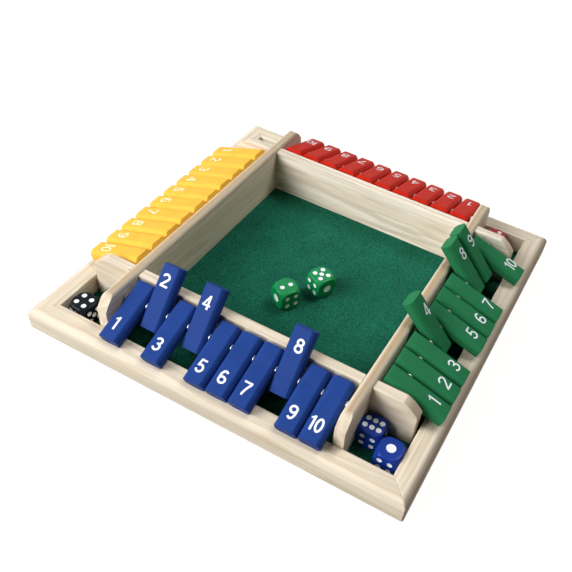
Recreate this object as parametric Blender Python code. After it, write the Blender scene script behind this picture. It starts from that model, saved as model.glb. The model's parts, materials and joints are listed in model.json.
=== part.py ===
# Four-player shut the box: a square pine tray with four rows of ten flip tiles.
#
# The tray lies on the table at z = 0 and its centre is the origin. X runs along the
# front rail, Y from the front rail to the back rail. Each player sits outside one rail
# and has a row of ten tiles on a steel axle: blue at the front (-Y), green at the right,
# red at the back and yellow at the left. A row is modelled once, as the front row, and
# turned about Z for the other three sides. All lengths are in metres.

import math

import bmesh
import bpy
from mathutils import Vector

# Tray
tray_size = 0.304
rail_width = 0.0172
rail_height = 0.0194
rail_top_radius = 0.0105
rail_inner_edge_radius = 0.0010
rail_foot_radius = 0.0024
rail_corner_radius = 0.0050
rabbet_depth = 0.0050
base_thickness = 0.0030
lining_thickness = 0.0007

# Boards that divide the tray
board_thickness = 0.0081
pocket_clearance = 0.0009
long_wall_height = 0.0413
long_wall_top_radius = 0.0028
cross_board_height = 0.0393
cross_board_end_gap = 0.0018
board_edge_radius = 0.0008
long_wall_clip_length = 0.0100
long_wall_clip_height = 0.0102
cross_board_clip_length = 0.0118
cross_board_clip_height = 0.0098
clip_bulge = 0.0008

# Tiles and axles
tiles_per_row = 10
tile_length = 0.0482
tile_thickness = 0.0105
tile_edge_radius = 0.0028
tile_gap = 0.0013
tail_clearance = 0.0003
row_end_play = 0.0014
pivot_from_board = 0.0150
pivot_height = 0.0311
axle_radius = 0.0015
axle_seat_depth = 0.0045
spacer_radius = 0.0034

# Dice
die_size = 0.0176
die_edge_radius = 0.0012
die_ball_radius = 0.0124

# Clearances
seat_gap = 0.0003
bore_clearance = 0.0003
cut_overrun = 0.0010

# Counts that only set how finely curves are faceted
arc_steps = 5
fine_arc_steps = 2
axle_sides = 12
edge_steps = 3
ball_steps = 4

# Places worked out from the sizes above
tray_half = tray_size / 2
opening_half = tray_half - rail_width
# A corner pocket takes two dice side by side, and sets the depth of the rows with it.
row_depth = 2 * die_size + pocket_clearance
board_outer = opening_half - row_depth
centre_half = board_outer - board_thickness
board_middle = centre_half + board_thickness / 2
base_top = base_thickness
lining_bottom = base_top + seat_gap
lining_top = lining_bottom + lining_thickness
board_bottom = lining_top + seat_gap
lap_height = lining_top + cross_board_height / 2
cross_board_end = opening_half - cross_board_end_gap
long_wall_end = opening_half - seat_gap
pivot_out = board_outer + pivot_from_board
pivot_z = lining_top + pivot_height
# The tail swings past the board when the tile is flipped.
tile_tail = math.sqrt((pivot_from_board - tail_clearance) ** 2 - (tile_thickness / 2) ** 2)
tile_head = tile_length - tile_tail
tile_pitch = (2 * (centre_half - row_end_play) - tile_gap) / tiles_per_row
tile_width = tile_pitch - tile_gap

# Quarter turns of each row about Z, and its tiles that stand flipped up
rows = {
    "blue": (0, (2, 4, 8)),
    "green": (1, (4, 8, 9)),
    "red": (2, ()),
    "yellow": (3, ()),
}

# Dice: colour, turn in degrees, the space that holds each die as signs along X and Y
# (0, 0 is the centre, the others are corner pockets), and where it lies in that space
dice = {
    "die_green_1": ("green", 61, (0, 0)),
    "die_green_2": ("green", 64, (0, 0)),
    "die_blue_1": ("blue", 0, (1, -1)),
    "die_blue_2": ("blue", 0, (1, -1)),
    "die_black_1": ("black", -7, (-1, -1)),
    "die_red_1": ("red", 21, (1, 1)),
}
dice_room_shares = {
    "die_green_1": (-0.087, -0.383),
    "die_green_2": (0.120, -0.045),
    "die_blue_1": (-1.0, 0.870),
    "die_blue_2": (1.0, -0.350),
    "die_black_1": (-0.620, -0.985),
    "die_red_1": (-0.810, 0.990),
}


def clear_scene():
    for item in list(bpy.data.objects):
        bpy.data.objects.remove(item, do_unlink=True)


def make_material(name, colour, roughness, metallic=0.0):
    material = bpy.data.materials.new(name)
    material.use_nodes = True
    shader = material.node_tree.nodes["Principled BSDF"]
    shader.inputs["Base Color"].default_value = (*colour, 1.0)
    shader.inputs["Roughness"].default_value = roughness
    shader.inputs["Metallic"].default_value = metallic
    material.diffuse_color = (*colour, 1.0)
    return material


def make_object(name, bm, material, sharp_angle=40.0):
    """Turns a closed bmesh into an object with its faces pointing out."""
    bmesh.ops.recalc_face_normals(bm, faces=bm.faces)
    mesh = bpy.data.meshes.new(name)
    bm.to_mesh(mesh)
    bm.free()
    mesh.materials.append(material)
    mesh.shade_smooth()
    mesh.set_sharp_from_angle(angle=math.radians(sharp_angle))
    item = bpy.data.objects.new(name, mesh)
    bpy.context.scene.collection.objects.link(item)
    return item


def make_empty(name, location=(0.0, 0.0, 0.0), turn_z=0.0):
    empty = bpy.data.objects.new(name, None)
    empty.location = location
    empty.rotation_euler = (0.0, 0.0, turn_z)
    bpy.context.scene.collection.objects.link(empty)
    return empty


def prism(outline, place_start, place_end):
    """A closed body between two copies of an outline, each placed by its own function."""
    bm = bmesh.new()
    start = [bm.verts.new(place_start(u, v)) for u, v in outline]
    end = [bm.verts.new(place_end(u, v)) for u, v in outline]
    count = len(outline)
    for i in range(count):
        j = (i + 1) % count
        bm.faces.new((start[i], start[j], end[j], end[i]))
    bm.faces.new(start[::-1])
    bm.faces.new(end)
    return bm


def arc(centre, radius, start_angle, end_angle, steps):
    """Points on a circle about centre, from one angle to another, in degrees."""
    points = []
    for i in range(steps + 1):
        angle = math.radians(start_angle + (end_angle - start_angle) * i / steps)
        points.append((centre[0] + radius * math.cos(angle), centre[1] + radius * math.sin(angle)))
    return points


def bulged_line(start, end, bulge, steps):
    """Points from start to end that bow to the left of the way by bulge at the middle."""
    along = Vector(end) - Vector(start)
    side = Vector((-along.y, along.x)).normalized()
    points = []
    for i in range(steps + 1):
        share = i / steps
        bow = bulge * math.sin(math.pi * share)
        points.append(tuple(Vector(start) + along * share + side * bow))
    return points


def add_cut(item, cutter, operation="DIFFERENCE"):
    cutter.hide_render = True
    cutter.display_type = "WIRE"
    boolean = item.modifiers.new(cutter.name, "BOOLEAN")
    boolean.operation = operation
    boolean.solver = "EXACT"
    boolean.object = cutter


def cut_mesh(blank, cutter, operation="DIFFERENCE"):
    """What a cut leaves of a body, as a mesh that several objects can share."""
    add_cut(blank, cutter, operation)
    graph = bpy.context.evaluated_depsgraph_get()
    mesh = bpy.data.meshes.new_from_object(blank.evaluated_get(graph))
    for item in (blank, cutter):
        bpy.data.objects.remove(item, do_unlink=True)
    return mesh


def cylinder_cutter(name, material, radius, start, end, sides=axle_sides):
    """A round cutter between two points along X or along Y."""
    along = Vector(end) - Vector(start)
    bm = bmesh.new()
    bmesh.ops.create_cone(bm, cap_ends=True, segments=sides, radius1=radius, radius2=radius,
                          depth=along.length)
    cutter = make_object(name, bm, material)
    cutter.location = (Vector(start) + Vector(end)) / 2
    cutter.rotation_euler = along.to_track_quat("Z", "Y").to_euler()
    return cutter


# Frame

def rail_profile():
    """Cross-section of a rail: distance out from the tray opening, and height."""
    outer = rail_width
    points = [(rabbet_depth, 0.0)]
    points += arc((outer - rail_foot_radius, rail_foot_radius), rail_foot_radius, -90, 0, fine_arc_steps)
    points += arc((outer - rail_top_radius, rail_height - rail_top_radius), rail_top_radius, 0, 90, arc_steps)
    points += arc((rail_inner_edge_radius, rail_height - rail_inner_edge_radius),
                  rail_inner_edge_radius, 90, 180, fine_arc_steps)
    points.append((0.0, base_top + seat_gap))
    points.append((rabbet_depth, base_top + seat_gap))
    return points


def rounded_square(half, radius, steps):
    """Outline of a square about the origin with round corners."""
    points = []
    for quarter in range(4):
        for u, v in arc((half - radius, half - radius), radius, 0, 90, steps):
            for _ in range(quarter):
                u, v = -v, u
            points.append((u, v))
    return points


def make_rails(material):
    """Four rails, mitred at the corners, with a rabbet for the base board."""
    mitre_gap = seat_gap / math.sqrt(2)
    outline = rounded_square(tray_half, rail_corner_radius, arc_steps)
    corners = make_object("cut_tray_corners",
                          prism(outline,
                                lambda x, y: (x, y, -cut_overrun),
                                lambda x, y: (x, y, rail_height + cut_overrun)), material)
    for name, quarter in (("rail_front", 0), ("rail_right", 1), ("rail_back", 2), ("rail_left", 3)):
        bm = prism(rail_profile(),
                   lambda d, z: (-(opening_half + d) + mitre_gap, -(opening_half + d), z),
                   lambda d, z: (opening_half + d - mitre_gap, -(opening_half + d), z))
        rail = make_object(name, bm, material)
        rail.rotation_euler = (0.0, 0.0, quarter * math.pi / 2)
        add_cut(rail, corners, "INTERSECT")


def make_base(plywood, leatherette):
    """The plywood base in the rails' rabbet, and the lining glued over it."""
    base_half = opening_half + rabbet_depth - seat_gap
    for name, half, bottom, top, material in (
            ("base_board", base_half, 0.0, base_top, plywood),
            ("tray_lining", opening_half - seat_gap, lining_bottom, lining_top, leatherette)):
        square = [(-half, -half), (half, -half), (half, half), (-half, half)]
        bm = prism(square, lambda x, y, z=bottom: (x, y, z), lambda x, y, z=top: (x, y, z))
        make_object(name, bm, material)


# Dividing boards

def long_wall_section():
    """Cross-section of a long wall: a board with well rounded upper edges."""
    half = board_thickness / 2
    radius = min(long_wall_top_radius, half)
    top = lining_top + long_wall_height
    points = [(-half, board_bottom), (half, board_bottom)]
    points += arc((half - radius, top - radius), radius, 0, 90, arc_steps)
    points += arc((radius - half, top - radius), radius, 90, 180, arc_steps)
    return points


def clipped_top(end, top, clip_length, clip_height):
    """Outline along the top of a board, from its +end to its -end, with clipped corners."""
    right = bulged_line((end, top - clip_height), (end - clip_length, top), -clip_bulge, arc_steps)
    left = [(-u, v) for u, v in reversed(right)]
    return right + left


def long_wall_outline():
    """Side view of a long wall, notched from below where it straddles the cross boards."""
    notch_in = centre_half - seat_gap
    notch_out = board_outer + seat_gap
    notch_top = lap_height + seat_gap / 2
    low = board_bottom - cut_overrun
    points = [(-long_wall_end, low)]
    for inner, outer in ((-notch_out, -notch_in), (notch_in, notch_out)):
        points += [(inner, low), (inner, notch_top), (outer, notch_top), (outer, low)]
    points.append((long_wall_end, low))
    points += clipped_top(long_wall_end, lining_top + long_wall_height,
                          long_wall_clip_length, long_wall_clip_height)
    return points


def cross_board_outline():
    """Side view of a cross board, notched from above for the long walls."""
    notch_in = centre_half - seat_gap
    notch_out = board_outer + seat_gap
    notch_bottom = lap_height - seat_gap / 2
    top = lining_top + cross_board_height
    points = [(-cross_board_end, board_bottom), (cross_board_end, board_bottom)]
    clipped = clipped_top(cross_board_end, top, cross_board_clip_length, cross_board_clip_height)
    half_count = len(clipped) // 2
    points += clipped[:half_count]
    for outer, inner in ((notch_out, notch_in), (-notch_in, -notch_out)):
        points += [(outer, top), (outer, notch_bottom), (inner, notch_bottom), (inner, top)]
    points += clipped[half_count:]
    return points


def make_long_walls(material):
    for name, side in (("long_wall_left", -1), ("long_wall_right", 1)):
        section = long_wall_section()
        middle = side * board_middle
        bm = prism(section,
                   lambda u, z: (middle + u, -long_wall_end - cut_overrun, z),
                   lambda u, z: (middle + u, long_wall_end + cut_overrun, z))
        wall = make_object(name, bm, material)
        half = board_thickness / 2 + cut_overrun
        outline = prism(long_wall_outline(),
                        lambda y, z: (middle - half, y, z),
                        lambda y, z: (middle + half, y, z))
        add_cut(wall, make_object("cut_outline_" + name, outline, material), "INTERSECT")
        inner = side * centre_half
        for end in (-1, 1):
            start = (inner - side * cut_overrun, end * pivot_out, pivot_z)
            stop = (inner + side * (axle_seat_depth + seat_gap), end * pivot_out, pivot_z)
            hole = cylinder_cutter(f"cut_axle_{name}_{end}", material, axle_radius + bore_clearance,
                                   start, stop)
            add_cut(wall, hole)


def ease_top_edges(bm, lowest):
    """Rounds the long upper edges of a board, above a height."""
    edges = []
    for edge in bm.edges:
        a, b = (vert.co for vert in edge.verts)
        if abs(a.y - b.y) < seat_gap and min(a.z, b.z) > lowest:
            edges.append(edge)
    bmesh.ops.bevel(bm, geom=edges, offset=board_edge_radius, segments=fine_arc_steps,
                    profile=0.5, affect="EDGES", clamp_overlap=True)


def make_cross_boards(material):
    """Each board is one wall of the centre square with a divider beyond each long wall."""
    top = lining_top + cross_board_height
    for name, side in (("cross_board_front", -1), ("cross_board_back", 1)):
        near = side * centre_half
        far = side * board_outer
        bm = prism(cross_board_outline(), lambda x, z: (x, near, z), lambda x, z: (x, far, z))
        bmesh.ops.recalc_face_normals(bm, faces=bm.faces)
        ease_top_edges(bm, top - cross_board_clip_height - seat_gap)
        board = make_object(name, bm, material)
        for end in (-1, 1):
            start = (end * pivot_out, near - side * cut_overrun, pivot_z)
            stop = (end * pivot_out, near + side * (axle_seat_depth + seat_gap), pivot_z)
            hole = cylinder_cutter(f"cut_axle_{name}_{end}", material, axle_radius + bore_clearance,
                                   start, stop)
            add_cut(board, hole)


# Rows of tiles

def down_angle():
    """Dip of a tile at rest, when the underside of its head lies on the rail."""
    reach = math.hypot(tile_head, tile_thickness / 2)
    corner = math.atan2(tile_thickness / 2, tile_head)
    # The end edge lies on the flat of the rail, if it doesn't reach past it.
    flat = math.asin((pivot_z - rail_height - seat_gap) / reach)
    across = opening_half + rail_width - rail_top_radius - pivot_out
    if reach * math.cos(flat) <= across:
        return flat - corner
    # Else the head lies on the rounding: the underside touches it, or the end edge does.
    below = pivot_z - rail_height + rail_top_radius
    span = math.hypot(across, below)
    touch = rail_top_radius + seat_gap
    slope = math.atan2(below, across)
    under = math.asin((touch + tile_thickness / 2) / span)
    if span * math.cos(under) <= tile_head:
        return slope - under
    return slope - corner - math.acos((reach ** 2 + span ** 2 - touch ** 2) / (2 * reach * span))


def up_angle(top, edge_radius):
    """Turn of a flipped tile, when its face leans on a board's rounded top edge."""
    across = pivot_from_board + edge_radius
    above = top - edge_radius - pivot_z
    reach = math.hypot(across, above)
    rise = math.atan2(above, across) + math.asin((tile_thickness / 2 + edge_radius + seat_gap) / reach)
    return rise - math.pi


def tile_x(number):
    """Place of a tile along its axle. The end tiles of two rows clear each other when flipped."""
    return (number - (tiles_per_row + 1) / 2) * tile_pitch


def tile_body():
    """A moulded strip with rounded long edges, cut square at its ends, origin on the axle."""
    bm = bmesh.new()
    bmesh.ops.create_cube(bm, size=1.0)
    bmesh.ops.scale(bm, vec=(tile_width, tile_length, tile_thickness), verts=bm.verts)
    bmesh.ops.translate(bm, vec=(0.0, tile_tail - tile_length / 2, 0.0), verts=bm.verts)
    long_edges = [e for e in bm.edges if abs(e.verts[0].co.y - e.verts[1].co.y) > tile_length / 2]
    bmesh.ops.bevel(bm, geom=long_edges, offset=tile_edge_radius, segments=edge_steps,
                    profile=0.5, affect="EDGES")
    return bm


def tile_mesh(material):
    """The tile with its bore cut, as a mesh that all tiles of a colour share."""
    blank = make_object("tile_blank", tile_body(), material)
    side = tile_width / 2 + cut_overrun
    bore = cylinder_cutter("tile_bore", material, axle_radius + bore_clearance,
                           (-side, 0.0, 0.0), (side, 0.0, 0.0))
    return cut_mesh(blank, bore)


def turned_body(profile, sides):
    """A body of revolution about X, from (distance along X, radius) points off the axis."""
    bm = bmesh.new()
    verts = [bm.verts.new((x, 0.0, r)) for x, r in profile]
    edges = [bm.edges.new(pair) for pair in zip(verts, verts[1:])]
    bmesh.ops.spin(bm, geom=verts + edges, cent=(0.0, 0.0, 0.0), axis=(1.0, 0.0, 0.0),
                   angle=2 * math.pi, steps=sides, use_merge=True, use_duplicate=False)
    bmesh.ops.holes_fill(bm, edges=bm.edges, sides=sides)
    return bm


def axle_profile():
    """The axle rod with a spacer ring in every gap between tiles and at both ends."""
    half = centre_half + axle_seat_depth
    faces = [tile_x(number) for number in range(1, tiles_per_row + 1)]
    gaps = [(-centre_half, faces[0] - tile_width / 2)]
    gaps += [(x + tile_width / 2, x + tile_width / 2 + tile_gap) for x in faces[:-1]]
    gaps.append((faces[-1] + tile_width / 2, centre_half))
    points = [(-half, axle_radius)]
    for start, end in gaps:
        left, right = start + seat_gap, end - seat_gap
        points += [(left, axle_radius), (left, spacer_radius), (right, spacer_radius), (right, axle_radius)]
    points.append((half, axle_radius))
    return points


def make_row(colour, quarter, flipped, tile_material, steel):
    row = make_empty("row_" + colour, turn_z=quarter * math.pi / 2)
    axle = make_object("axle_" + colour, turned_body(axle_profile(), axle_sides), steel)
    axle.location = (0.0, -pivot_out, pivot_z)
    axle.parent = row
    # Blue and red tiles lean on the cross boards, green and yellow ones on the long walls.
    if quarter % 2 == 0:
        lean = up_angle(lining_top + cross_board_height, board_edge_radius)
    else:
        lean = up_angle(lining_top + long_wall_height, long_wall_top_radius)
    mesh = tile_mesh(tile_material)
    for number in range(1, tiles_per_row + 1):
        tile = bpy.data.objects.new(f"tile_{colour}_{number:02d}", mesh)
        bpy.context.scene.collection.objects.link(tile)
        tile.location = (tile_x(number), -pivot_out, pivot_z)
        tile.rotation_euler = (lean if number in flipped else down_angle(), 0.0, 0.0)
        tile.parent = row


# Dice

def die_place(space, turn, shares):
    """Where a die's middle lies: shares of the room that its turned outline leaves it."""
    straight = die_size / 2 - die_edge_radius
    reach = straight * (abs(math.cos(turn)) + abs(math.sin(turn))) + die_edge_radius + seat_gap
    middle = board_outer + row_depth / 2
    place = []
    for sign, share in zip(space, shares):
        room = (row_depth / 2 if sign else centre_half) - reach
        place.append(sign * middle + share * room)
    return place


def die_mesh(material):
    """A cube with eased edges, whose corners are ground off by a ball."""
    bm = bmesh.new()
    bmesh.ops.create_cube(bm, size=die_size)
    bmesh.ops.bevel(bm, geom=bm.edges[:], offset=die_edge_radius, segments=fine_arc_steps,
                    profile=0.5, affect="EDGES")
    blank = make_object("die_blank", bm, material)
    bm = bmesh.new()
    bmesh.ops.create_icosphere(bm, subdivisions=ball_steps, radius=die_ball_radius)
    return cut_mesh(blank, make_object("die_ball", bm, material), "INTERSECT")


def make_die(name, material, place, turn):
    """A die that lies on the lining."""
    die = bpy.data.objects.new(name, die_mesh(material))
    bpy.context.scene.collection.objects.link(die)
    die.location = (place[0], place[1], lining_top + seat_gap + die_size / 2)
    die.rotation_euler = (0.0, 0.0, turn)


def main():
    clear_scene()
    pine = make_material("pine", (0.74, 0.60, 0.42), 0.55)
    plywood = make_material("plywood", (0.60, 0.45, 0.28), 0.65)
    leatherette = make_material("green_leatherette", (0.012, 0.11, 0.06), 0.6)
    steel = make_material("steel", (0.60, 0.60, 0.60), 0.3, 1.0)
    enamels = {
        "blue": make_material("blue_enamel", (0.03, 0.07, 0.30), 0.4),
        "green": make_material("green_enamel", (0.03, 0.20, 0.08), 0.4),
        "red": make_material("red_enamel", (0.54, 0.04, 0.025), 0.4),
        "yellow": make_material("yellow_enamel", (0.95, 0.58, 0.08), 0.4),
    }
    plastics = {
        "green": make_material("green_plastic", (0.008, 0.22, 0.05), 0.2),
        "blue": make_material("blue_plastic", (0.015, 0.05, 0.40), 0.2),
        "black": make_material("black_plastic", (0.01, 0.01, 0.015), 0.2),
        "red": make_material("red_plastic", (0.42, 0.01, 0.02), 0.2),
    }
    make_rails(pine)
    make_base(plywood, leatherette)
    make_long_walls(pine)
    make_cross_boards(pine)
    for colour, (quarter, flipped) in rows.items():
        make_row(colour, quarter, flipped, enamels[colour], steel)
    for name, (colour, degrees, space) in dice.items():
        turn = math.radians(degrees)
        make_die(name, plastics[colour], die_place(space, turn, dice_room_shares[name]), turn)


main()
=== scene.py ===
import json
import math

import bpy
import numpy as np
from mathutils import Matrix, Vector


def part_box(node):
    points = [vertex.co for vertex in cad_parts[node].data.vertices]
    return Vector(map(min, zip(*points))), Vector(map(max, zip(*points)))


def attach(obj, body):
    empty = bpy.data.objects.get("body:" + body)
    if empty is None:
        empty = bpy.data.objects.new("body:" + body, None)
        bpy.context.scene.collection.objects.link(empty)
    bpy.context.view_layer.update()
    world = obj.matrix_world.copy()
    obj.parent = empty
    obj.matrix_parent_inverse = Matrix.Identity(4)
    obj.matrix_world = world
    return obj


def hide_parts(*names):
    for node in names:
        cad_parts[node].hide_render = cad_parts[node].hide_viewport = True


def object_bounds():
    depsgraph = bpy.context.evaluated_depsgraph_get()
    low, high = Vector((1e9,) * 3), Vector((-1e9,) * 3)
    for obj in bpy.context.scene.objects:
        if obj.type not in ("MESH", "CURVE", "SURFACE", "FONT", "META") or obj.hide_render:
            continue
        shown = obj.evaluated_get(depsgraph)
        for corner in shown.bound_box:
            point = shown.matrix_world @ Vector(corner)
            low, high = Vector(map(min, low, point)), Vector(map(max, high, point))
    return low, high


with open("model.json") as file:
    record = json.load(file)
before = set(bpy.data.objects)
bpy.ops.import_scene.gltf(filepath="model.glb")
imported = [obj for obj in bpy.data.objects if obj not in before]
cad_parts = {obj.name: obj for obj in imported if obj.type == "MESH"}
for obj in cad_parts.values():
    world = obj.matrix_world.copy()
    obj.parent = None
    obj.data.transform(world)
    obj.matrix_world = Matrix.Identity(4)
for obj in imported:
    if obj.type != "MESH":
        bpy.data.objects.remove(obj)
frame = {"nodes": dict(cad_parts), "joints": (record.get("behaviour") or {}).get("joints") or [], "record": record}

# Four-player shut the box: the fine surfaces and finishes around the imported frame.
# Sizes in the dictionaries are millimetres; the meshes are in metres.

mm = 0.001
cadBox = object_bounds()
bodies = frame["record"]["behaviour"]["bodies"]
trayBody = next(name for name, nodes in bodies.items() if len(nodes) > 1)


# Mesh tools

# Six times the volume inside a closed mesh, as the sum of (p0 . p1 x p2) over fans of each face.
def enclosedVolume(points, faceSets):
    total = 0.0
    for faces in faceSets:
        first = points[faces[:, 0]]
        for k in range(1, faces.shape[1] - 1):
            total += (first * np.cross(points[faces[:, k]], points[faces[:, k + 1]])).sum()
    return total


# Whole arrays go into the mesh; faces are turned so that they point out of a closed shape.
def putMesh(name, points, faceSets, sharpAngle=38.0, faceOut=True):
    points = np.asarray(points, float).reshape(-1, 3)
    if faceOut and enclosedVolume(points, faceSets) < 0:
        faceSets = [faces[:, ::-1] for faces in faceSets]
    corners = np.concatenate([faces.ravel() for faces in faceSets])
    counts = np.concatenate([np.full(len(faces), faces.shape[1]) for faces in faceSets])
    mesh = bpy.data.meshes.new(name)
    mesh.vertices.add(len(points))
    mesh.vertices.foreach_set("co", points.astype(np.float32).ravel())
    mesh.loops.add(len(corners))
    mesh.loops.foreach_set("vertex_index", corners.astype(np.int32))
    mesh.polygons.add(len(counts))
    mesh.polygons.foreach_set("loop_start", (np.cumsum(counts) - counts).astype(np.int32))
    mesh.update(calc_edges=True)
    mesh.validate()
    mesh.shade_smooth()
    mesh.set_sharp_from_angle(angle=math.radians(sharpAngle))
    return mesh


# The corners of each cell of a lattice of vertex numbers, in order round the cell.
def cellCorners(index):
    return np.stack([index[:-1, :-1], index[1:, :-1], index[1:, 1:], index[:-1, 1:]], -1)


# Quads between neighbours of a rows by cols lattice; a wrapped direction closes on itself.
def gridFaces(rows, cols, wrapRows=False, wrapCols=False):
    index = np.arange(rows * cols).reshape(rows, cols)
    if wrapRows:
        index = np.vstack([index, index[:1]])
    if wrapCols:
        index = np.hstack([index, index[:, :1]])
    return cellCorners(index).reshape(-1, 4)


# A stack of closed loops: quads between the loops and one flat face on the first and the last.
def loftFaces(rows, cols):
    ends = np.stack([np.arange(cols), np.arange(cols)[::-1] + (rows - 1) * cols])
    return [gridFaces(rows, cols, wrapCols=True), ends]


def addPiece(name, mesh, material, body, replaced=()):
    piece = bpy.data.objects.new(name, mesh)
    bpy.context.scene.collection.objects.link(piece)
    mesh.materials.append(material)
    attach(piece, body)
    if replaced:
        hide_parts(*replaced)
    return piece


# Points on a circle: centre + radius (cos a, sin a), from one angle to another in degrees.
def arcPoints(centre, radius, start, end, steps):
    angle = np.radians(np.linspace(start, end, steps + 1))
    return np.stack([centre[0] + radius * np.cos(angle), centre[1] + radius * np.sin(angle)], -1)


# How far an eased edge drops: r (1 - (1 - (d / r)^p)^(1 / p)), where d is how far a place lies in
# the easing. A power p of 2 is round, and towards 1 it is a chamfer with soft borders.
def edgeDrop(place, limit, radius, power=2.0):
    depth = np.clip((np.abs(place) - (limit - radius)) / radius, 0.0, 1.0)
    return radius * (1 - (1 - depth ** power) ** (1 / power))


# The smaller of two heights, blended over a width k: a h + b (1 - h) - k h (1 - h).
def softMin(a, b, k):
    h = np.clip(0.5 + 0.5 * (b - a) / k, 0.0, 1.0)
    return a * h + b * (1 - h) - k * h * (1 - h)


# Points turned about Z by quarter turns, in place of a turned object.
def quarterTurn(points, quarter):
    c, s = [(1, 0), (0, 1), (-1, 0), (0, -1)][quarter % 4]
    x, y, z = points[..., 0], points[..., 1], points[..., 2]
    return np.stack([c * x - s * y, s * x + c * y, z], -1)


# Node tools

def toLinear(hexColour):
    parts = [int(hexColour[k:k + 2], 16) / 255 for k in (1, 3, 5)]
    return (*[v / 12.92 if v <= 0.04045 else ((v + 0.055) / 1.055) ** 2.4 for v in parts], 1.0)


# Adds a node: values go on its sockets, links join other nodes' outputs to them, and stops are the
# places and greys of a ramp.
def addNode(tree, kind, values=(), links=(), stops=(), **settings):
    node = tree.nodes.new(kind)
    for key, value in settings.items():
        setattr(node, key, value)
    for key, value in dict(values).items():
        node.inputs[key].default_value = value
    for key, source in dict(links).items():
        tree.links.new(source, node.inputs[key])
    if stops:
        ramp = node.color_ramp.elements
        while len(ramp) < len(stops):
            ramp.new(1.0)
        for element, (place, grey) in zip(ramp, stops):
            element.position = place
            element.color = (grey, grey, grey, 1.0)
    return node


def newMaterial(name):
    material = bpy.data.materials.new(name)
    material.use_nodes = True
    tree = material.node_tree
    return material, tree, tree.nodes["Principled BSDF"]


# Places on a piece in millimetres, from its object coordinates with the pattern's turn and shift:
# as they are, and with each axis multiplied by the stretch.
def millimetres(tree, turn=(0, 0, 0), shift=(0, 0, 0), stretch=(1, 1, 1)):
    place = addNode(tree, "ShaderNodeTexCoord")
    scaled = addNode(tree, "ShaderNodeMapping", {"Scale": (1 / mm,) * 3, "Rotation": turn,
                                                 "Location": shift},
                     {"Vector": place.outputs["Object"]})
    stretched = addNode(tree, "ShaderNodeVectorMath", {1: stretch}, {0: scaled.outputs["Vector"]},
                        operation="MULTIPLY")
    return scaled.outputs["Vector"], stretched.outputs["Vector"]


noiseReach = (0.3, 0.7)        # where nearly all the values of a noise lie


# Slow changes of tone, so many millimetres across.
def slowPatches(tree, placed, size):
    place = addNode(tree, "ShaderNodeVectorMath", {1: (1 / size,) * 3}, {0: placed},
                    operation="MULTIPLY")
    patch = addNode(tree, "ShaderNodeTexNoise", {"Scale": 1.0, "Detail": 3.0},
                    {"Vector": place.outputs[0]})
    return patch.outputs["Fac"]


# Colours the surface with a hex colour, or an output that gives one, times a factor that runs
# over the tones while the pattern runs over its reach.
def toneSurface(tree, shader, colour, pattern, tones, reach=(0.0, 1.0)):
    shade = addNode(tree, "ShaderNodeMapRange", {"From Min": reach[0], "From Max": reach[1],
                                                 "To Min": tones[0], "To Max": tones[1]},
                    {"Value": pattern})
    toned = addNode(tree, "ShaderNodeVectorMath", {}, {3: shade.outputs[0]}, operation="SCALE")
    if isinstance(colour, str):
        toned.inputs[0].default_value = toLinear(colour)[:3]
    else:
        tree.links.new(colour, toned.inputs[0])
    tree.links.new(toned.outputs[0], shader.inputs["Base Color"])


# Roughness that runs with the pattern from the smooth value to the dull one.
def roughenSurface(tree, shader, pattern, smooth, dull):
    gloss = addNode(tree, "ShaderNodeMapRange", {"To Min": smooth, "To Max": dull},
                    {"Value": pattern})
    tree.links.new(gloss.outputs[0], shader.inputs["Roughness"])


# A fine relief from the pattern, so many millimetres deep.
def pressSurface(tree, shader, pattern, strength, depth):
    bump = addNode(tree, "ShaderNodeBump", {"Strength": strength, "Distance": depth * mm},
                   {"Height": pattern})
    tree.links.new(bump.outputs[0], shader.inputs["Normal"])


# Pine, planed, sanded and lacquered satin: pale, with faint growth lines and grey-brown streaks
# along the board and a fine silky fibre, which a low sheen lies over.
pineLook = {
    "early": "#E9DCC7",        # wood between the growth lines
    "late": "#D3C1A4",         # growth lines
    "streak": "#C3B6A0",       # broad streaks
    "streakShare": 0.24,
    "streakBand": (0.46, 0.64),      # of the streaks' noise, from clear to full
    "endGrain": "#C9A184",     # where a sawn end cuts across the grain
    "endShare": 0.0,
    "endBand": (0.45, 0.62),   # how squarely a place faces along the board, from clear to full
    "ringSpacing": 6.0,        # mm between growth lines
    "ringGreys": [(0.0, 0.0), (0.45, 0.05), (0.88, 0.60), (1.0, 0.1)],     # early wood to line
    "ringWobble": 1.2,
    "lineWander": 26.0,        # mm over which a growth line wavers
    "wanderAlong": 0.22,       # share of that waver that runs along the grain
    "wanderDepth": 14.0,       # mm that it wavers by
    "fibreLength": 70.0,       # mm
    "fibreWidth": 1.3,         # mm, coarser than the real 0.5 mm so that it shows
    "fibreTones": (0.88, 1.06),
    "fibreBump": (0.12, 0.15),       # strength, and depth in mm
    "streakWidth": 5.0,        # mm
    "streakLength": 150.0,     # mm
    "sheen": 0.08,
    "roughness": (0.44, 0.58),
}
# Where a board departs from that: sawn ends that show, stronger streaks, paler wood
boardTones = {
    "long_wall_left": {"endShare": 0.08},
    "long_wall_right": {"endShare": 0.08},
    "cross_board_front": {"endShare": 0.4, "streakShare": 0.35},
    "cross_board_back": {"endShare": 0.4, "streakShare": 0.55, "early": "#F7ECDB"},
}
# Where in the log each board was cut: the pattern's shift, and the pith's place across the grain
logPlaces = {
    "rail_front": ((30, 0, 0), (38, -46)),
    "rail_right": ((170, 17, 5), (29, -39)),
    "rail_back": ((310, 34, 10), (20, -32)),
    "rail_left": ((450, 51, 15), (11, -25)),
    "long_wall_left": ((60, 11, 9), (-60, 34)),
    "long_wall_right": ((270, 41, 9), (-35, -26)),
    "cross_board_front": ((35, 60, 3), (52, 47)),
    "cross_board_back": ((335, 43, 3), (32, 65)),
}
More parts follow.
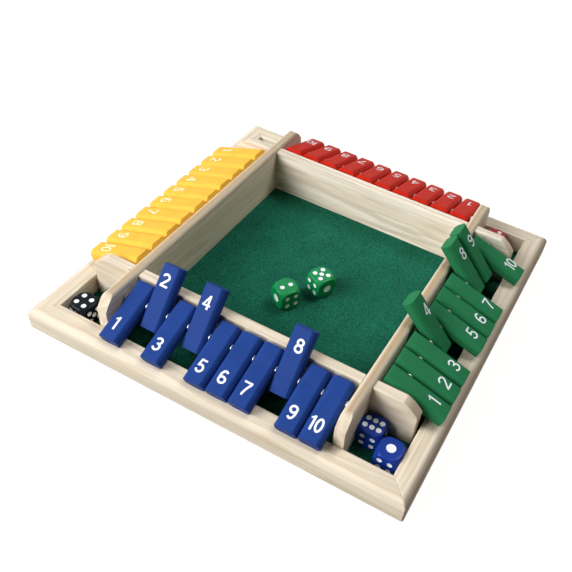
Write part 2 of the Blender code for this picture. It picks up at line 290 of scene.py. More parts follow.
# Small marks in the wood, and bands and patches of painted shade: the place and the half sizes in mm, the colour
# and its share
pineMarksAndShade = {
    # Painted shade low in the back board's corner by the left wall
    "cross_board_back": [((-86.0, 90.6, 9.8), (5.5, 3.0, 3.0), "#9C8350", 0.55)],
    "cross_board_front": [((-99.0, -97.6, 43.6), (1.3, 1.5, 1.5), "#5B5140", 0.8)],
    "rail_front": [((-110.6, -148.0, 17.4), (1.1, 0.8, 0.8), "#A9745A", 0.8)],
    # The first is painted shade over the right rail's outer side, which faces away from the light
    "rail_right": [((152.0, 0.0, 11.0), (7.5, 900.0, 13.0), "#8A6D50", 0.65),
                   ((140.5, -118.0, 19.4), (1.3, 34.0, 2.0), "#BFA482", 0.5)],
    # Painted shade along the long walls' rounded tops
    "long_wall_left": [((-94.65, 0.0, 46.0), (4.5, 400.0, 3.0), "#A98A5C", 0.7)],
    "long_wall_right": [((94.65, 0.0, 46.0), (4.5, 400.0, 3.0), "#A98A5C", 0.7)],
}


# Multiplier for a pattern that is so long along the grain and so wide across it, in mm.
def grainStretch(length, width):
    return (1 / length, 1 / width, 1 / width)


def makePine(name, along, shift, pith, look=pineLook, marksAndShade=()):
    material, tree, shader = newMaterial(name)
    turn = (0, 0, 0) if along == "x" else (0, 0, math.radians(90))
    placed, fibrePlace = millimetres(tree, turn, shift,
                                     grainStretch(look["fibreLength"], look["fibreWidth"]))
    # A slow wander, stretched along the grain, bends the rings that lie about the pith.
    wide = look["lineWander"]
    slow = addNode(tree, "ShaderNodeVectorMath", {1: grainStretch(wide / look["wanderAlong"], wide)},
                   {0: placed}, operation="MULTIPLY")
    wander = addNode(tree, "ShaderNodeTexNoise", {"Scale": 1.0, "Detail": 3.0},
                     {"Vector": slow.outputs[0]})
    bend = addNode(tree, "ShaderNodeVectorMath", {1: (0, look["wanderDepth"], look["wanderDepth"])},
                   {0: wander.outputs["Color"]}, operation="MULTIPLY")
    bent = addNode(tree, "ShaderNodeVectorMath", {}, {0: placed, 1: bend.outputs[0]})
    centred = addNode(tree, "ShaderNodeVectorMath", {1: (0, *pith)}, {0: bent.outputs[0]},
                      operation="SUBTRACT")
    # A wave of rings comes back every pi / 10 at a scale of 1.
    rings = addNode(tree, "ShaderNodeTexWave", {"Scale": math.pi / 10 / look["ringSpacing"],
                                                "Distortion": look["ringWobble"], "Detail": 2.0,
                                                "Detail Scale": 0.4},
                    {"Vector": centred.outputs[0]}, wave_type="RINGS", rings_direction="X",
                    wave_profile="SAW")
    greys = addNode(tree, "ShaderNodeValToRGB", stops=look["ringGreys"],
                    links={"Fac": rings.outputs["Fac"]})
    lined = addNode(tree, "ShaderNodeMix", {6: toLinear(look["early"]), 7: toLinear(look["late"])},
                    {0: greys.outputs["Color"]}, data_type="RGBA")
    streakPlace = addNode(tree, "ShaderNodeVectorMath",
                          {1: grainStretch(look["streakLength"], look["streakWidth"])},
                          {0: bent.outputs[0]}, operation="MULTIPLY")
    broad = addNode(tree, "ShaderNodeTexNoise", {"Scale": 1.0, "Detail": 3.0, "Roughness": 0.55},
                    {"Vector": streakPlace.outputs[0]})
    low, high = look["streakBand"]
    amount = addNode(tree, "ShaderNodeMapRange", {"From Min": low, "From Max": high,
                                                  "To Max": look["streakShare"]},
                     {"Value": broad.outputs["Fac"]}, interpolation_type="SMOOTHSTEP")
    streaked = addNode(tree, "ShaderNodeMix", {7: toLinear(look["streak"])},
                       {0: amount.outputs[0], 6: lined.outputs[2]}, data_type="RGBA")
    fibre = addNode(tree, "ShaderNodeTexNoise", {"Scale": 1.0, "Detail": 4.0, "Roughness": 0.6},
                    {"Vector": fibrePlace})
    # A sawn end faces along the board, by the size of its normal's part that way.
    facing = addNode(tree, "ShaderNodeSeparateXYZ", {},
                     {0: addNode(tree, "ShaderNodeTexCoord").outputs["Normal"]})
    square = addNode(tree, "ShaderNodeMath", {}, {0: facing.outputs[along.upper()]},
                     operation="ABSOLUTE")
    low, high = look["endBand"]
    sawn = addNode(tree, "ShaderNodeMapRange", {"From Min": low, "From Max": high,
                                                "To Max": look["endShare"]},
                   {"Value": square.outputs[0]}, interpolation_type="SMOOTHSTEP")
    ended = addNode(tree, "ShaderNodeMix", {7: toLinear(look["endGrain"])},
                    {0: sawn.outputs[0], 6: streaked.outputs[2]}, data_type="RGBA")
    # A mark, or a patch of painted shade, fades from a fifth of its half sizes to their full, in the piece's
    # unturned millimetres.
    plain, _ = millimetres(tree)
    colour = ended.outputs[2]
    for place, size, tint, share in marksAndShade:
        away = addNode(tree, "ShaderNodeVectorMath", {1: place}, {0: plain}, operation="SUBTRACT")
        scaled = addNode(tree, "ShaderNodeVectorMath", {1: size}, {0: away.outputs[0]},
                         operation="DIVIDE")
        far = addNode(tree, "ShaderNodeVectorMath", {}, {0: scaled.outputs[0]}, operation="LENGTH")
        fade = addNode(tree, "ShaderNodeMapRange", {"From Min": 1.0, "From Max": 0.2,
                                                    "To Max": share},
                       {"Value": far.outputs["Value"]}, interpolation_type="SMOOTHSTEP")
        mixed = addNode(tree, "ShaderNodeMix", {7: toLinear(tint)}, {0: fade.outputs[0], 6: colour},
                        data_type="RGBA")
        colour = mixed.outputs[2]
    toneSurface(tree, shader, colour, fibre.outputs["Fac"], look["fibreTones"], noiseReach)
    roughenSurface(tree, shader, fibre.outputs["Fac"], *look["roughness"])
    pressSurface(tree, shader, fibre.outputs["Fac"], *look["fibreBump"])
    shader.inputs["Specular IOR Level"].default_value = look["sheen"]
    return material


# The pine of one rail or board, with its own place in the log, tones, marks and painted shade.
def boardPine(name, along):
    look = dict(pineLook, **boardTones.get(name, {}))
    return makePine("lacquered_pine_" + name, along, *logPlaces[name], look, pineMarksAndShade.get(name, ()))


# Plywood, sanded and bare: a rotary-cut face veneer with wide, wandering figure and no sheen.
plywoodLook = dict(pineLook, early="#D9C4A0", late="#B99A70", streak="#C4A67A", ringSpacing=11.0,
                   roughness=(0.56, 0.70))

# Leatherette, a coated cloth pressed with a pebbled grain: small bumps between creases, with a dull sheen. The
# creases are darkened as painted shade, and specks high on the grain are lightened as a painted highlight.
leatheretteLook = {
    "face": "#25715A",
    # painted shade in the creases between the bumps
    "creaseShade": "#0C4F3D",
    "creaseWidth": 0.28,       # in pebbles, from the crease to the top of the bump
    # painted highlight: paler specks where the grit raises the grain
    "grainHighlight": "#368A6E",
    "grainHighlightBand": (0.52, 0.72),       # of the grit's noise, from clear to full
    "grainHighlightShare": 0.5,
    "pebble": 1.8,             # mm across a pebble, coarser than the real 1 mm so that it shows
    "wobble": 0.9,             # pebbles that the creases wander by
    "grit": 2.6,               # grains in a pebble
    "gritHeight": 0.35,        # as a share of the bump
    "bump": (1.0, 0.25),       # strength, and depth in mm
    "patch": 22.0,             # mm across slow changes of tone
    "patchTones": (0.88, 1.1),
    "sheen": 0.03,
    "roughness": 0.55,
}


def makeLeatherette(look=leatheretteLook):
    material, tree, shader = newMaterial("leatherette_green")
    placed, fine = millimetres(tree, stretch=(1 / look["pebble"],) * 3)
    wobble = addNode(tree, "ShaderNodeTexNoise", {"Scale": 1.3, "Detail": 2.0}, {"Vector": fine})
    moved = addNode(tree, "ShaderNodeVectorMath", {1: (look["wobble"],) * 3},
                    {0: wobble.outputs["Color"], 2: fine}, operation="MULTIPLY_ADD")
    cells = addNode(tree, "ShaderNodeTexVoronoi", {"Scale": 1.0, "Randomness": 1.0},
                    {"Vector": moved.outputs[0]}, feature="DISTANCE_TO_EDGE")
    dome = addNode(tree, "ShaderNodeMapRange", {"From Max": look["creaseWidth"]},
                   {"Value": cells.outputs["Distance"]}, interpolation_type="SMOOTHSTEP")
    grit = addNode(tree, "ShaderNodeTexNoise", {"Scale": look["grit"], "Detail": 3.0},
                   {"Vector": fine})
    # Painted shade darkens the creases, and a painted highlight lightens the high grit.
    base = addNode(tree, "ShaderNodeMix", {6: toLinear(look["creaseShade"]), 7: toLinear(look["face"])},
                   {0: dome.outputs[0]}, data_type="RGBA")
    low, high = look["grainHighlightBand"]
    grainHighlight = addNode(tree, "ShaderNodeMapRange", {"From Min": low, "From Max": high,
                                                 "To Max": look["grainHighlightShare"]},
                    {"Value": grit.outputs["Fac"]})
    grainHighlighted = addNode(tree, "ShaderNodeMix", {7: toLinear(look["grainHighlight"])},
                      {0: grainHighlight.outputs[0], 6: base.outputs[2]}, data_type="RGBA")
    toneSurface(tree, shader, grainHighlighted.outputs[2], slowPatches(tree, placed, look["patch"]),
                look["patchTones"], noiseReach)
    height = addNode(tree, "ShaderNodeMath", {1: look["gritHeight"]},
                     {0: grit.outputs["Fac"], 2: dome.outputs[0]}, operation="MULTIPLY_ADD")
    pressSurface(tree, shader, height.outputs[0], *look["bump"])
    shader.inputs["Roughness"].default_value = look["roughness"]
    shader.inputs["Specular IOR Level"].default_value = look["sheen"]
    return material


# Satin enamel, sprayed on sanded wood: an even colour with slow, slight changes of tone under a
# soft sheen, and a faint orange peel.
enamelLook = {
    "blue": "#254287",
    "green": "#2A7A4E",
    "red": "#C82A1B",
    "yellow": "#F1BC4A",
    "sheen": 0.035,
    "peel": 0.9,               # mm across the orange peel
    "peelBump": (0.10, 0.06),        # strength, and depth in mm
    "patch": 14.0,             # mm across slow changes of tone
    "patchTones": (0.94, 1.05),
    "roughness": (0.39, 0.51),
}


def makeEnamel(colour, look=enamelLook):
    material, tree, shader = newMaterial("satin_enamel_" + colour)
    placed, fine = millimetres(tree, stretch=(1 / look["peel"],) * 3)
    peel = addNode(tree, "ShaderNodeTexNoise", {"Scale": 1.0, "Detail": 2.0}, {"Vector": fine})
    patch = slowPatches(tree, placed, look["patch"])
    toneSurface(tree, shader, look[colour], patch, look["patchTones"], noiseReach)
    roughenSurface(tree, shader, patch, *look["roughness"])
    pressSurface(tree, shader, peel.outputs["Fac"], *look["peelBump"])
    shader.inputs["Specular IOR Level"].default_value = look["sheen"]
    return material


# Polished acrylic, moulded and tumbled: deep colour under a wet-looking surface.
acrylicLook = {
    "green": "#0D884C",
    "blue": "#15368F",
    "black": "#0E141C",
    "red": "#B3182A",
    "swirl": 6.0,              # mm across faint swirls in the moulding
    "sheen": 0.22,
    "darkSheen": 0.12,         # a dark colour shows a reflection more, so it has less
    "tones": (0.90, 1.10),
    "roughness": (0.10, 0.18),
}


def makeAcrylic(colour, look=acrylicLook):
    material, tree, shader = newMaterial("polished_acrylic_" + colour)
    _, slow = millimetres(tree, stretch=(1 / look["swirl"],) * 3)
    swirl = addNode(tree, "ShaderNodeTexNoise", {"Scale": 1.0, "Detail": 2.0, "Distortion": 0.6},
                    {"Vector": slow})
    toneSurface(tree, shader, look[colour], swirl.outputs["Fac"], look["tones"])
    roughenSurface(tree, shader, swirl.outputs["Fac"], *look["roughness"])
    sheen = look["darkSheen" if colour in ("black", "blue") else "sheen"]
    shader.inputs["Specular IOR Level"].default_value = sheen
    return material


# White ink, pad printed on the tiles and dabbed in the dice: opaque, flat, slightly uneven.
inkLook = {"white": "#EDF3F6", "grain": 0.8, "tones": (0.95, 1.03), "roughness": 0.5}
thinInkLook = dict(inkLook, white="#F9ECC4")       # a thin coat, which the yellow shows through


def makeInk(name, look=inkLook):
    material, tree, shader = newMaterial(name)
    _, fine = millimetres(tree, stretch=(1 / look["grain"],) * 3)
    grain = addNode(tree, "ShaderNodeTexNoise", {"Scale": 1.0, "Detail": 2.0}, {"Vector": fine})
    toneSurface(tree, shader, look["white"], grain.outputs["Fac"], look["tones"])
    shader.inputs["Roughness"].default_value = look["roughness"]
    return material


# Steel rod, bright drawn: fine lines round the turned rings, with a clear but soft reflection.
steelLook = {"metal": "#B2B2B0", "line": 0.25, "tones": (0.9, 1.05), "roughness": (0.22, 0.42)}


def makeSteel(look=steelLook):
    material, tree, shader = newMaterial("bright_drawn_steel")
    _, fine = millimetres(tree, stretch=(1 / look["line"],) * 3)
    line = addNode(tree, "ShaderNodeTexNoise", {"Scale": 1.0, "Detail": 3.0}, {"Vector": fine})
    toneSurface(tree, shader, look["metal"], line.outputs["Fac"], look["tones"])
    roughenSurface(tree, shader, line.outputs["Fac"], *look["roughness"])
    shader.inputs["Metallic"].default_value = 1.0
    return material


# Camera, from the photograph's view

cameraLook = {
    "imageSide": 572,
    "focalPixels": 706.95,
    "middlePixels": (340.78, 318.33),
    "azimuth": 22.35,
    "elevation": 46.86,
    "roll": 7.87,
    "distance": 551.93,
    "target": (38.25, -21.66, 4.0),
    "sensor": 36.0,
}


def makeCamera(look=cameraLook):
    a, e, r = (math.radians(look[key]) for key in ("azimuth", "elevation", "roll"))
    back = Vector((math.sin(a) * math.cos(e), -math.cos(a) * math.cos(e), math.sin(e)))
    level = Vector((math.cos(a), math.sin(a), 0.0))
    rise = back.cross(level)
    right = level * math.cos(r) + rise * math.sin(r)
    up = rise * math.cos(r) - level * math.sin(r)
    data = bpy.data.cameras.new("photo_camera")
    data.sensor_width = look["sensor"]
    data.lens = look["focalPixels"] / look["imageSide"] * look["sensor"]
    half = look["imageSide"] / 2
    data.shift_x = (half - look["middlePixels"][0]) / look["imageSide"]
    data.shift_y = (look["middlePixels"][1] - half) / look["imageSide"]
    camera = bpy.data.objects.new("photo_camera", data)
    place = (Vector(look["target"]) + back * look["distance"]) * mm
    camera.matrix_world = Matrix.Translation(place) @ Matrix((right, up, back)).transposed().to_4x4()
    bpy.context.scene.collection.objects.link(camera)
    bpy.context.scene.camera = camera
    print("camera placed")


# Light: a wide key from the front left, as from a window, a small one beside it, a weaker one from
# high behind, and a white surround that shows and mirrors but hardly lights. Lengths are metres.

lightLook = {
    "keyFrom": (-0.53, -0.68, 0.52),
    "keyDistance": 2.2,
    "keySide": 1.5,
    "keyWatts": 62.0,
    "backFrom": (0.24, 0.42, 0.88),
    "backDistance": 2.2,
    "backSide": 0.85,
    "backWatts": 23.0,
    "glintFrom": (-0.78, -0.30, 0.62),
    "glintDistance": 2.2,
    "glintSide": 0.34,         # small, for the lines of light along the eased edges
    "glintWatts": 7.5,
    "surround": 0.008,         # strength of the ambient light
}


def addAreaLight(name, direction, distance, side, watts):
    data = bpy.data.lights.new(name, "AREA")
    data.shape = "SQUARE"
    data.size = side
    data.energy = watts
    lamp = bpy.data.objects.new(name, data)
    lamp.location = Vector(direction).normalized() * distance
    lamp.rotation_euler = (-lamp.location).to_track_quat("-Z", "Y").to_euler()
    bpy.context.scene.collection.objects.link(lamp)


# 1 for what is seen, mirrored or seen through, and 0 for the rays that carry light.
def whereSeen(tree):
    path = addNode(tree, "ShaderNodeLightPath")
    mirrored = addNode(tree, "ShaderNodeMath", {}, {0: path.outputs["Is Camera Ray"],
                                                    1: path.outputs["Is Glossy Ray"]},
                       operation="MAXIMUM")
    seen = addNode(tree, "ShaderNodeMath", {}, {0: mirrored.outputs[0],
                                                1: path.outputs["Is Transmission Ray"]},
                   operation="MAXIMUM")
    return seen.outputs[0]


def makeLight(look=lightLook):
    for lamp in ("key", "back", "glint"):
        addAreaLight(lamp, *(look[lamp + part] for part in ("From", "Distance", "Side", "Watts")))
    world = bpy.data.worlds.new("pale_surround")
    world.use_nodes = True
    bpy.context.scene.world = world
    tree = world.node_tree
    shown = addNode(tree, "ShaderNodeBackground", {"Color": (1, 1, 1, 1), "Strength": 1.0})
    ambient = addNode(tree, "ShaderNodeBackground", {"Color": (1, 1, 1, 1),
                                                     "Strength": look["surround"]})
    both = addNode(tree, "ShaderNodeMixShader", {}, {0: whereSeen(tree), 1: ambient.outputs[0],
                                                     2: shown.outputs[0]})
    tree.links.new(both.outputs[0], tree.nodes["World Output"].inputs["Surface"])
    print("lights and surround made")


# A painted floor, dull grey-brown for the little light that it throws back, but white to the eye by
# its own glow, with the object's shadow kept.
floorLook = {
    "colour": "#4C4437",
    "roughness": 0.9,
    "glow": 0.95,
    "half": 6.0,               # m from the middle to a side
    "drop": 0.2,               # mm below the tray's feet
}


def makeFloor(look=floorLook):
    half = look["half"]
    corners = np.array([[-half, -half, 0], [half, -half, 0], [half, half, 0], [-half, half, 0]])
    corners[:, 2] = cadBox[0].z - look["drop"] * mm
    mesh = putMesh("floor", corners, [np.array([[0, 1, 2, 3]])], faceOut=False)
    material, tree, shader = newMaterial("pale_floor")
    shader.inputs["Base Color"].default_value = toLinear(look["colour"])
    shader.inputs["Roughness"].default_value = look["roughness"]
    glow = addNode(tree, "ShaderNodeEmission", {"Color": (1, 1, 1, 1)})
    strength = addNode(tree, "ShaderNodeMath", {1: look["glow"]}, {0: whereSeen(tree)},
                       operation="MULTIPLY")
    tree.links.new(strength.outputs[0], glow.inputs["Strength"])
    both = addNode(tree, "ShaderNodeAddShader", {}, {0: shader.outputs[0], 1: glow.outputs[0]})
    tree.links.new(both.outputs[0], tree.nodes["Material Output"].inputs["Surface"])
    floor = bpy.data.objects.new("floor", mesh)
    mesh.materials.append(material)
    bpy.context.scene.collection.objects.link(floor)


# Rails

railLook = {
    "topDrop": 0.18,           # lower than the solid, so that the tiles' tails lie clear of it
    "topRadius": 5.5,
    "topPower": 1.6,           # 2 is round, and towards 1 the rounding flattens to a chamfer
    "innerEdge": 1.0,
    "foot": 2.4,
    "corner": 1.4,
    "rabbet": 5.0,
    "rabbetHeight": 3.3,
    "mitreGap": 0.06,          # each side
    "mitreEase": 0.28,
    "flatLead": 3.0,           # the last point of the flat top lies so far inside the easing
    "topSteps": 22,
    "footSteps": 7,
    "edgeSteps": 6,
    "straightSteps": 13,
    "cornerSteps": 11,
}
railPlaces = {"rail_front": 0, "rail_right": 1, "rail_back": 2, "rail_left": 3}


# Cross-section as (distance out from the opening, height): a flat top with a fine inner edge,
# a large outer easing of x = r cos(a)^(2 / p) and z = r sin(a)^(2 / p), a small rounding at the foot,
# and the rabbet for the base.
def railSection(width, height, look):
    edge, foot, top = look["innerEdge"], look["foot"], look["topRadius"]
    quarter = arcPoints((0.0, 0.0), 1.0, 0, 90, look["topSteps"]).clip(0.0, 1.0)
    easing = quarter ** (2 / look["topPower"])
    runs = [
        np.array([[look["rabbet"], 0.0]]),
        arcPoints((width - foot, foot), foot, -90, 0, look["footSteps"]),
        np.array([[width - top, height - top]]) + top * easing,
        np.array([[width - top - look["flatLead"], height]]),
        arcPoints((edge, height - edge), edge, 90, 180, look["edgeSteps"]),
        np.array([[0.0, look["rabbetHeight"]], [look["rabbet"], look["rabbetHeight"]]]),
    ]
    return np.concatenate(runs)


# A closed outline pulled in along its own normals.
def insetLoop(loop, distance):
    along = np.roll(loop, -1, 0) - np.roll(loop, 1, 0)
    normal = np.stack([-along[:, 1], along[:, 0]], -1)
    return loop + distance * normal / np.linalg.norm(normal, axis=1, keepdims=True)


# Half of a rail: each point of the section runs straight, then turns the corner on its own
# radius, which is the corner's less its depth under the outer face, and ends on the mitre.
def railHalf(section, opening, width, look):
    corner = look["corner"]
    loops = []
    for share in np.linspace(0, 1, look["straightSteps"] + 1):
        x = share * (opening + section[:, 0] - corner)
        loops.append(np.stack([x, opening + section[:, 0], section[:, 1]], -1))
    # The last full ring stands off the mitre, and the one on the mitre is drawn in by its easing.
    lastShare = 1 - 2 * look["mitreEase"] / corner
    turning = np.linspace(0, 1, look["cornerSteps"] + 1)[1:-1] * lastShare
    for share in [*turning, lastShare, 1.0]:
        loop = insetLoop(section, look["mitreEase"]) if share == 1.0 else section
        out = loop[:, 0]
        radius = np.maximum(corner - (width - out), 0.0)
        span = share * (corner - radius + radius * math.pi / 4)
        bend = np.clip(span - (corner - radius), 0.0, None) / np.maximum(radius, 1e-6)
        x = opening + out - corner + np.minimum(span, corner - radius) + radius * np.sin(bend)
        y = opening + out - radius + radius * np.cos(bend)
        loops.append(np.stack([x - look["mitreGap"] * share, y, loop[:, 1]], -1))
    return np.array(loops)


def makeRails(look=railLook):
    low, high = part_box("rail_front")
    width, height = (high.y - low.y) / mm, high.z / mm - look["topDrop"]
    section = railSection(width, height, look)
    half = railHalf(section, -high.y / mm, width, look)
    mirrored = half[:0:-1] * np.array([-1, 1, 1])
    loops = np.concatenate([mirrored, half]) * mm
    rail = loops * np.array([1, -1, 1])
    for name, quarter in railPlaces.items():
        faces = loftFaces(len(loops), len(section))
        mesh = putMesh(name + "_fine", quarterTurn(rail, quarter), faces)
        material = boardPine(name, "x" if quarter % 2 == 0 else "y")
        addPiece(name + "_fine", mesh, material, trayBody, [name])
    print("rails made")


# Boards

longWallLook = {
    "topRadius": 2.8,
    "cutRadius": 0.35,         # on the sawn ends
    "clipLength": 10.0,
    "clipHeight": 10.2,
    "clipBulge": 0.8,
    "gap": 0.3,
}
crossBoardLook = dict(longWallLook, topRadius=0.8, cutRadius=0.8, clipLength=11.8, clipHeight=9.8)
# How a board's outline and roundings are divided, with distances in mm
boardSteps = {
    "clip": 33,
    "pastClip": 1.5,
    "lead": 5,
    "leadReach": (3, 14),      # from the clip towards the middle
    "middle": 24,
    "notchClear": 0.05,        # no place on the top lies nearer to a notch
    "top": 14,
    "cut": 5,
    "soft": 0.5,               # how softly the top meets the clip
}


# Height of the clipped end: a straight slope with a bow of b sin(pi t), square to it.
def clipHeight(place, end, top, look):
    length, height = look["clipLength"], look["clipHeight"]
    t = np.clip((end - np.abs(place)) / length, 0.0, 3.0)
    slant = math.hypot(length, height) / length
    bow = look["clipBulge"] * np.sin(math.pi * np.clip(t, 0, 1)) * slant
    return top - height * (1 - t) + bow


# Outlines along a board as (place along, height, is it on the shaped top), from the left foot
# round by the right end and back over the top.
def boardOutline(end, bottom, notches, notchHeight, fromAbove, top, look):
    reach = end - look["clipLength"]
    near, far = boardSteps["leadReach"]
    clip = np.linspace(end, reach - boardSteps["pastClip"], boardSteps["clip"] + 1)
    lead = np.linspace(reach - near, reach - far, boardSteps["lead"] + 1)
    middle = np.linspace(lead[-1], -lead[-1], boardSteps["middle"] + 1)[1:-1]
    right = np.concatenate([clip, lead])
    stations = np.concatenate([right, middle, -right[::-1]])
    rows = [[-end, bottom, 0]]
    if fromAbove:
        rows += [[end, bottom, 0]]
        (outerLeft, innerLeft), (innerRight, outerRight) = notches
        spans = [(end, outerRight), (innerRight, innerLeft), (outerLeft, -end)]
        for number, (start, stop) in enumerate(spans):
            clear = boardSteps["notchClear"]
            inside = stations[(stations < start - clear) & (stations > stop + clear)]
            rows += [[p, top, 1] for p in np.concatenate([[start], inside, [stop]])]
            if number < 2:
                rows += [[stop, notchHeight, 0], [spans[number + 1][0], notchHeight, 0]]
    else:
        for start, stop in notches:
            rows += [[start, bottom, 0], [start, notchHeight, 0], [stop, notchHeight, 0],
                     [stop, bottom, 0]]
        rows += [[end, bottom, 0]] + [[p, top, 1] for p in stations]
    return np.array(rows, float)


# The outline carried across the thickness: each ring lowers the top by its own rounding, and the
# clipped ends, sawn later, by a smaller one.
def boardRings(outline, thickness, end, top, look):
    half = thickness / 2
    turns = [np.radians(np.linspace(90, 0, boardSteps[part] + 1)) for part in ("top", "cut")]
    radii = (look["topRadius"], look["cutRadius"])
    side = [half - radius + radius * np.sin(turn) for radius, turn in zip(radii, turns)]
    side = np.unique(np.round(np.concatenate(side), 5))
    rings = []
    for u in np.concatenate([-side[::-1], side]):
        drop, ease = (edgeDrop(u, half, radius) for radius in radii)
        place = np.clip(outline[:, 0], -(end - ease), end - ease)
        shaped = softMin(np.full(len(place), top - drop), clipHeight(place, end, top, look) - ease,
                         boardSteps["soft"])
        height = np.where(outline[:, 2] > 0, shaped, outline[:, 1])
        rings.append(np.stack([place, np.full(len(place), u), height], -1))
    return np.array(rings)


# Two boards along X or Y, halved where they cross the other pair, of which one board is named: the
# cross boards, along X, are notched from above, and the long walls from below.
def makeBoards(names, along, crossing, look):
    fromAbove = along == "x"
    run, side = (0, 1) if along == "x" else (1, 0)
    gap = look["gap"]
    lining, boardTop = (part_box(name)[1].z / mm for name in ("tray_lining", "cross_board_front"))
    lap = lining + (boardTop - lining) / 2 + (-gap if fromAbove else gap) / 2
    inner, outer = sorted(abs(corner[run]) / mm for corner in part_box(crossing))
    notches = [(-outer - gap, -inner + gap), (inner - gap, outer + gap)]
    for name in names:
        low, high = (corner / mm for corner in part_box(name))
        outline = boardOutline(high[run], low[2], notches, lap, fromAbove, high[2], look)
        rings = boardRings(outline, high[side] - low[side], high[run], high[2], look)
        points = rings.copy()
        points[..., run] = rings[..., 0]
        points[..., side] = (low[side] + high[side]) / 2 + rings[..., 1]
        mesh = putMesh(name + "_fine", points * mm, loftFaces(len(rings), len(outline)))
        addPiece(name + "_fine", mesh, boardPine(name, along), trayBody, [name])
    print(names[0], "and", names[1], "made")


# Lining: a sheet glued to the base, which lies a little unevenly on the glue.

liningLook = {
    "cells": 120,
    "unevenness": 0.06,
    "wave": 31.0,              # mm
    "second": 0.6,             # the second waves' height and width, as a share of the first ones'
    "skew": 0.7,
}


# The top lies below the solid's by u (1 + s - v) / (2 + 2 s), with the waves
# v = sin(x / w) sin(y / w + 1) + s sin((x + k y) / (s w)).
def makeLining(material, look=liningLook):
    low, high = (np.array(corner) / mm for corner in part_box("tray_lining"))
    count = look["cells"] + 1
    x, y = np.meshgrid(np.linspace(low[0], high[0], count), np.linspace(low[1], high[1], count),
                       indexing="ij")
    wave, second = look["wave"], look["second"]
    waves = np.sin(x / wave) * np.sin(y / wave + 1)
    waves += second * np.sin((x + look["skew"] * y) / (second * wave))
    top = high[2] - look["unevenness"] * (1 + second - waves) / (2 + 2 * second)
    upper = np.stack([x, y, top], -1).reshape(-1, 3)
    lower = np.stack([x, y, np.full_like(x, low[2])], -1).reshape(-1, 3)
    faces = gridFaces(count, count)
    index = np.arange(count * count).reshape(count, count)
    rim = np.concatenate([index[:, 0], index[-1, 1:], index[-2::-1, -1], index[0, -2:0:-1]])
    walls = np.stack([rim, np.roll(rim, -1), np.roll(rim, -1) + count ** 2, rim + count ** 2], -1)
    mesh = putMesh("tray_lining_fine", np.concatenate([upper, lower]) * mm,
                   [faces, faces[:, ::-1] + count ** 2, walls[:, ::-1]])
    piece = addPiece("tray_lining_fine", mesh, material, trayBody, ["tray_lining"])
    print("lining made")


# Tiles

tileLook = {
    "edgeRadius": 3.0,
    "edgePower": 1.35,         # between a chamfer and a rounding
    "edgeBorder": (-0.08, 0.04, 0.12),     # close rings at the easing's border, in its radii
    "endEase": 0.4,
    "bore": 1.8,
    "roundSteps": 9,
    "sideSteps": 26,
    "endSteps": 6,
}


# A tile's own axes from its node: along from tail to head, across on the hinge, and square to both.
def tileFrame(name, joint):
    node = frame["nodes"][name]
    points = np.empty(len(node.data.vertices) * 3)
    node.data.vertices.foreach_get("co", points)
    points = points.reshape(-1, 3)
    pivot = np.array(joint["pos_m"])
    across = -np.array(joint["axis"], float)
    spread = (points - pivot) - np.outer((points - pivot) @ across, across)
    head = np.linalg.svd(spread - spread.mean(0), full_matrices=False)[2][0]
    head = head if (spread @ head).max() > -(spread @ head).min() else -head
    axes = np.stack([across, -head, np.cross(across, -head)])
    local = (points - pivot) @ axes.T
    return pivot, axes, local.min(0) / mm, local.max(0) / mm


# The side outline of a tile, a rectangle with eased corners; its long sides are spaced by the
# tangent of an even angle, so that they match the round bore in the middle.
def tileOutline(back, front, halfHeight, ease, look):
    steps = look["sideSteps"]
    first, last = math.atan((front - ease) / halfHeight), math.atan((back + ease) / halfHeight)
    upper = halfHeight * np.tan(np.linspace(first, last, steps))
    ends = np.linspace(-1, 1, look["endSteps"] + 1)[1:-1] * (halfHeight - ease)
    runs = [
        np.stack([upper, np.full(steps, halfHeight)], -1),
        arcPoints((back + ease, halfHeight - ease), ease, 90, 180, 4)[1:-1],
        np.stack([np.full(len(ends) + 2, back),
                  np.concatenate([[halfHeight - ease], -ends, [ease - halfHeight]])], -1),
        arcPoints((back + ease, ease - halfHeight), ease, 180, 270, 4)[1:-1],
        np.stack([upper[::-1], np.full(steps, -halfHeight)], -1),
        arcPoints((front - ease, ease - halfHeight), ease, 270, 360, 4)[1:-1],
        np.stack([np.full(len(ends) + 2, front),
                  np.concatenate([[ease - halfHeight], ends, [halfHeight - ease]])], -1),
        arcPoints((front - ease, halfHeight - ease), ease, 0, 90, 4)[1:-1],
    ]
    return np.concatenate(runs)


# Rings from the bore over one side, the long easing and the broad face to the other side; the half
# height is T/2 less the drop of the easing. The last ring joins the first through the bore.
def tilePoints(low, high, look):
    half, radius, ease = (high[0] - low[0]) / 2, look["edgeRadius"], look["endEase"]
    thick = (high[2] - low[2]) / 2
    turn = np.radians(np.linspace(0, 90, look["roundSteps"] + 1))
    side = np.unique(np.round(np.concatenate([half - radius + radius * np.array(look["edgeBorder"]),
                                              half - radius + radius * np.cos(turn),
                                              half - ease + ease * np.cos(turn[::2])]), 5))
    across = np.concatenate([-side[::-1], [0.0], side])
    rings = []
    for x in across:
        ring = tileOutline(low[1] + edgeDrop(x, half, ease), high[1] - edgeDrop(x, half, ease),
                           thick - edgeDrop(x, half, radius, look["edgePower"]), ease, look)
        rings.append(np.column_stack([np.full(len(ring), x), ring]))
    angle = np.arctan2(rings[0][:, 2], rings[0][:, 1])
    hole = np.stack([0 * angle, look["bore"] * np.cos(angle), look["bore"] * np.sin(angle)], -1)
    rings = [hole + [-half, 0, 0]] + rings + [hole + [half, 0, 0]]
    return np.array(rings)


# Numbers, cut as in a bold grotesque. A figure is a few strokes, and a stroke is a line of points.

